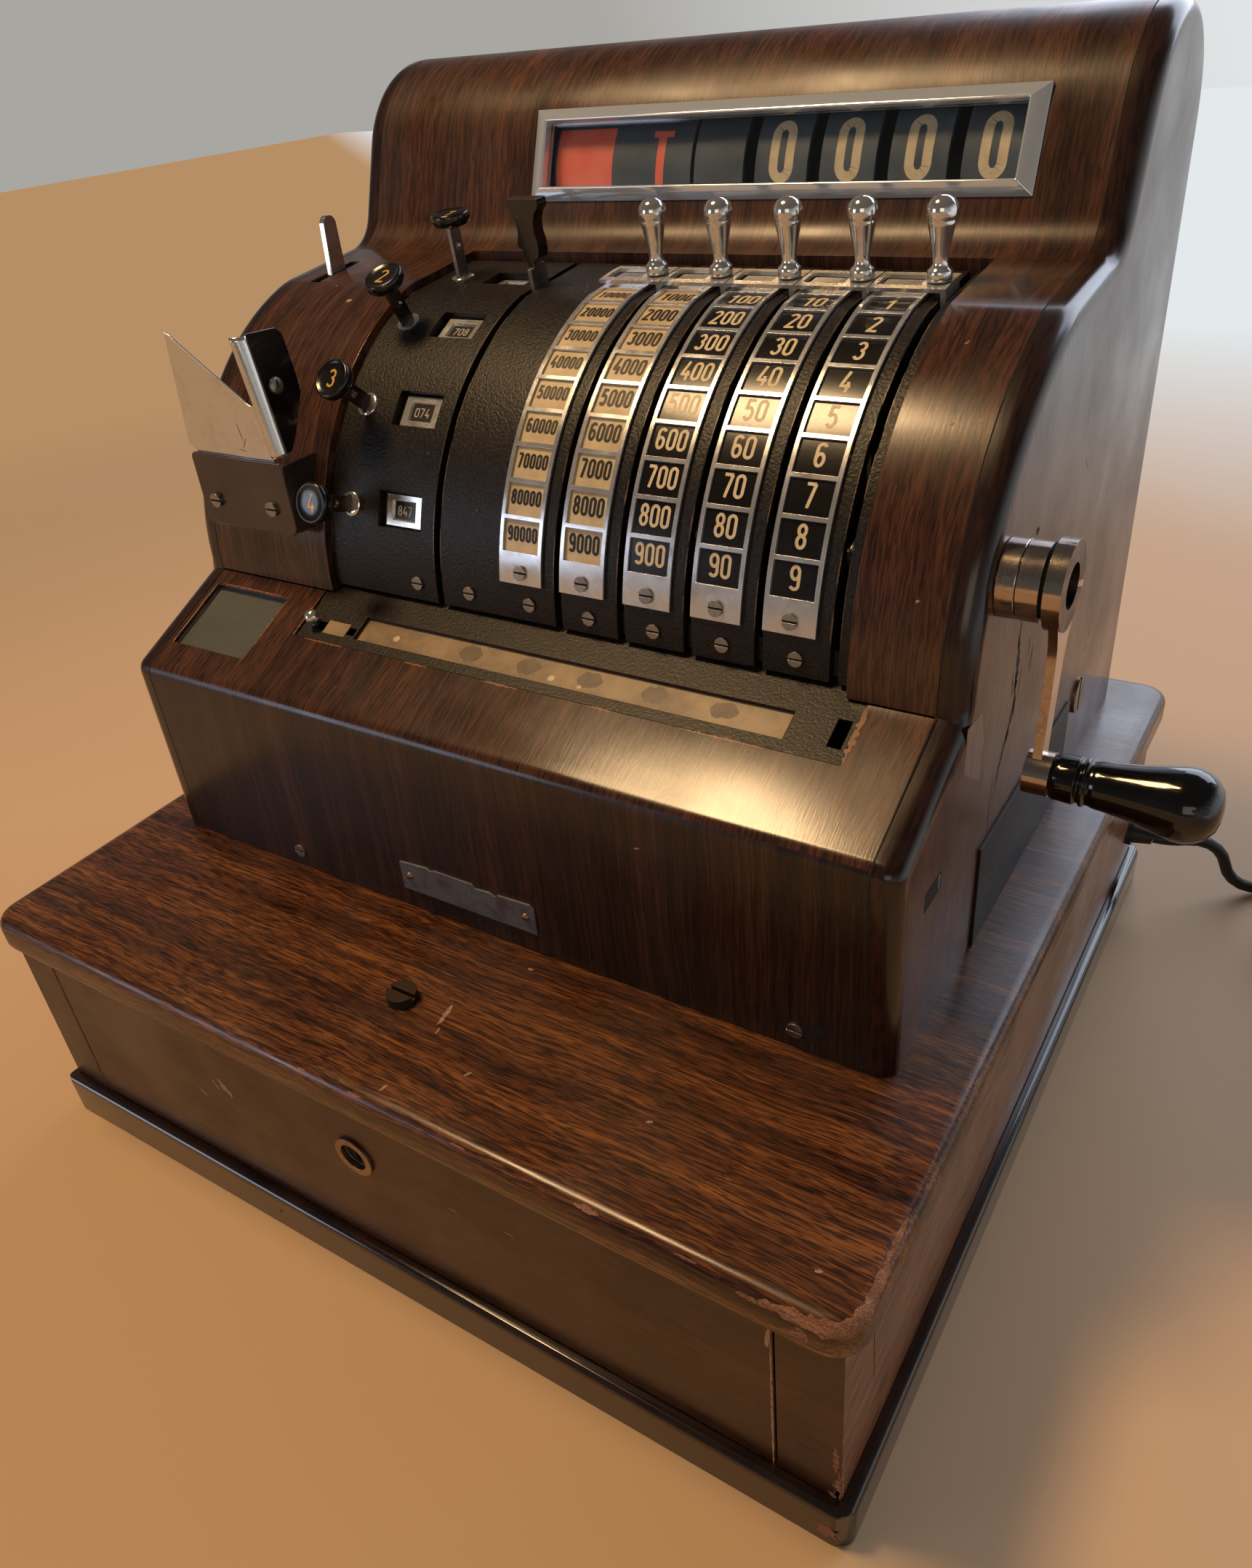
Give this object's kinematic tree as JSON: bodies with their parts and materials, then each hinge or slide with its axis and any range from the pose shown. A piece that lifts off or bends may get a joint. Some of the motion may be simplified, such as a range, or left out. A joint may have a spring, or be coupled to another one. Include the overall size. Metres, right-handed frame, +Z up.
{
  "type": "lever-set mechanical till with cash drawer",
  "caption": "Wooden mechanical till: a rounded register cabinet with setting levers, figure window and side crank on a base with a cash drawer.",
  "frame": {"origin": "middle of the base's footprint on the resting plane", "axes": "+Z up, front faces -Y, +X to the right seen from the front, where the crank is"},
  "size_m": [0.6522, 0.4938, 0.4793],
  "materials": {
    "base_wood": "satin",
    "inner_wood": "matte",
    "ebonised_wood": "gloss",
    "cabinet_wood": "gloss",
    "black_plate": "textured",
    "brown_plate": "gloss",
    "satin_chrome": "satin",
    "steel": "worn",
    "grey_iron": "matte",
    "ivory_card": "matte",
    "brass_strip": "worn",
    "window_glass": "clear",
    "black_enamel": "gloss",
    "drum_black": "matte",
    "cord_rubber": "matte",
    "plug_black": "satin"
  },
  "bodies": {
    "cabinet": {"base_top_board": "base_wood", "base_side_left": "base_wood", "base_side_right": "base_wood", "base_back": "base_wood", "base_floor": "inner_wood", "plinth_moulding": "ebonised_wood", "drawer_runners": "inner_wood", "cheek_left": "cabinet_wood", "cheek_right": "cabinet_wood", "front_panel": "cabinet_wood", "curved_panels": "cabinet_wood", "hood_shell": "cabinet_wood", "back_panel": "cabinet_wood", "clerk_plate": "black_plate", "key_plates": "black_plate", "label_frames": "satin_chrome", "number_cards": "ivory_card", "shafts": "steel", "chassis": "grey_iron", "window_bezel": "satin_chrome", "window_glasses": "window_glass", "key_barrels": "steel", "counters": "satin_chrome", "detail_plate": "black_plate", "detail_strip": "brass_strip", "receipt_guard": "satin_chrome", "guard_bracket": "brown_plate", "screws": "steel", "blank_plates": "steel", "side_lock": "steel", "crank_boss": "satin_chrome", "cord_grommet": "cord_rubber", "cord": "cord_rubber", "cord_coil": "cord_rubber", "plug": "plug_black"},
    "drawer": {"drawer_front": "base_wood", "drawer_box": "inner_wood", "cash_tray": "inner_wood", "drawer_lock": "steel"},
    "flag_drum": {"flag_drum": "drum_black"},
    "control_lever": {"control_lever": "black_enamel"},
    "feed_lever": {"feed_lever": "satin_chrome"},
    "slider": {"slider_knob": "satin_chrome"},
    "crank_arm": {"crank_arm": "satin_chrome"},
    "crank_handle": {"crank_handle": "black_enamel"},
    "lever_1": {"amount_lever_1": "satin_chrome"},
    "drum_1": {"figure_drum_1": "drum_black"},
    "lever_2": {"amount_lever_2": "satin_chrome"},
    "drum_2": {"figure_drum_2": "drum_black"},
    "lever_3": {"amount_lever_3": "satin_chrome"},
    "drum_3": {"figure_drum_3": "drum_black"},
    "lever_4": {"amount_lever_4": "satin_chrome"},
    "drum_4": {"figure_drum_4": "drum_black"},
    "lever_5": {"amount_lever_5": "satin_chrome"},
    "drum_5": {"figure_drum_5": "drum_black"},
    "key_1": {"clerk_key_1": "black_enamel"},
    "key_2": {"clerk_key_2": "black_enamel"},
    "key_3": {"clerk_key_3": "black_enamel"},
    "key_4": {"clerk_key_4": "black_enamel"}
  },
  "joints": [
    {"name": "drawer_slide", "type": "slide", "parent": "cabinet", "child": "drawer", "axis": [0, -1, 0], "range_m": [0, 0.3]},
    {"name": "lever_1_swing", "type": "hinge", "parent": "cabinet", "child": "lever_1", "pos_m": [0, 0.0634, 0.2656], "axis": [1, 0, 0], "range_deg": [0, 63.63]},
    {"name": "drum_1_turn", "type": "hinge", "parent": "cabinet", "child": "drum_1", "pos_m": [0, 0.1535, 0.41573], "axis": [1, 0, 0], "range_deg": [0, 324]},
    {"name": "lever_2_swing", "type": "hinge", "parent": "cabinet", "child": "lever_2", "pos_m": [0, 0.0634, 0.2656], "axis": [1, 0, 0], "range_deg": [0, 63.63]},
    {"name": "drum_2_turn", "type": "hinge", "parent": "cabinet", "child": "drum_2", "pos_m": [0, 0.1535, 0.41573], "axis": [1, 0, 0], "range_deg": [0, 324]},
    {"name": "lever_3_swing", "type": "hinge", "parent": "cabinet", "child": "lever_3", "pos_m": [0, 0.0634, 0.2656], "axis": [1, 0, 0], "range_deg": [0, 63.63]},
    {"name": "drum_3_turn", "type": "hinge", "parent": "cabinet", "child": "drum_3", "pos_m": [0, 0.1535, 0.41573], "axis": [1, 0, 0], "range_deg": [0, 324]},
    {"name": "lever_4_swing", "type": "hinge", "parent": "cabinet", "child": "lever_4", "pos_m": [0, 0.0634, 0.2656], "axis": [1, 0, 0], "range_deg": [0, 63.63]},
    {"name": "drum_4_turn", "type": "hinge", "parent": "cabinet", "child": "drum_4", "pos_m": [0, 0.1535, 0.41573], "axis": [1, 0, 0], "range_deg": [0, 324]},
    {"name": "lever_5_swing", "type": "hinge", "parent": "cabinet", "child": "lever_5", "pos_m": [0, 0.0634, 0.2656], "axis": [1, 0, 0], "range_deg": [0, 63.63]},
    {"name": "drum_5_turn", "type": "hinge", "parent": "cabinet", "child": "drum_5", "pos_m": [0, 0.1535, 0.41573], "axis": [1, 0, 0], "range_deg": [0, 324]},
    {"name": "control_swing", "type": "hinge", "parent": "cabinet", "child": "control_lever", "pos_m": [0, 0.0634, 0.2656], "axis": [1, 0, 0], "range_deg": [0, 42]},
    {"name": "flag_turn", "type": "hinge", "parent": "cabinet", "child": "flag_drum", "pos_m": [0, 0.1535, 0.41573], "axis": [1, 0, 0], "range_deg": [0, 126]},
    {"name": "feed_swing", "type": "hinge", "parent": "cabinet", "child": "feed_lever", "pos_m": [0, 0.043, 0.3436], "axis": [1, 0, 0], "range_deg": [-10, 10]},
    {"name": "key_1_turn", "type": "hinge", "parent": "cabinet", "child": "key_1", "pos_m": [-0.0995, 0.05156, 0.38856], "axis": [0, -0.0958, 0.9954], "range_deg": [0, 90]},
    {"name": "key_2_turn", "type": "hinge", "parent": "cabinet", "child": "key_2", "pos_m": [-0.0995, 0.00656, 0.37715], "axis": [0, -0.454, 0.891], "range_deg": [0, 90]},
    {"name": "key_3_turn", "type": "hinge", "parent": "cabinet", "child": "key_3", "pos_m": [-0.0995, -0.03037, 0.34856], "axis": [0, -0.749, 0.6626], "range_deg": [0, 90]},
    {"name": "key_4_turn", "type": "hinge", "parent": "cabinet", "child": "key_4", "pos_m": [-0.0995, -0.05425, 0.30842], "axis": [0, -0.9397, 0.342], "range_deg": [0, 90]},
    {"name": "slider_travel", "type": "slide", "parent": "cabinet", "child": "slider", "axis": [1, 0, 0], "range_m": [0, 0.022]},
    {"name": "crank_turn", "type": "hinge", "parent": "cabinet", "child": "crank_arm", "pos_m": [0, -0.0354, 0.31129], "axis": [1, 0, 0], "continuous": true},
    {"name": "handle_spin", "type": "hinge", "parent": "crank_arm", "child": "crank_handle", "pos_m": [0.25, -0.04429, 0.23884], "axis": [1, 0, 0], "continuous": true}
  ],
  "couplings": [
    {"joint": "drum_1_turn", "follows": "lever_1_swing", "ratio": 5.0919},
    {"joint": "drum_2_turn", "follows": "lever_2_swing", "ratio": 5.0919},
    {"joint": "drum_3_turn", "follows": "lever_3_swing", "ratio": 5.0919},
    {"joint": "drum_4_turn", "follows": "lever_4_swing", "ratio": 5.0919},
    {"joint": "drum_5_turn", "follows": "lever_5_swing", "ratio": 5.0919},
    {"joint": "flag_turn", "follows": "control_swing", "ratio": 3}
  ]
}
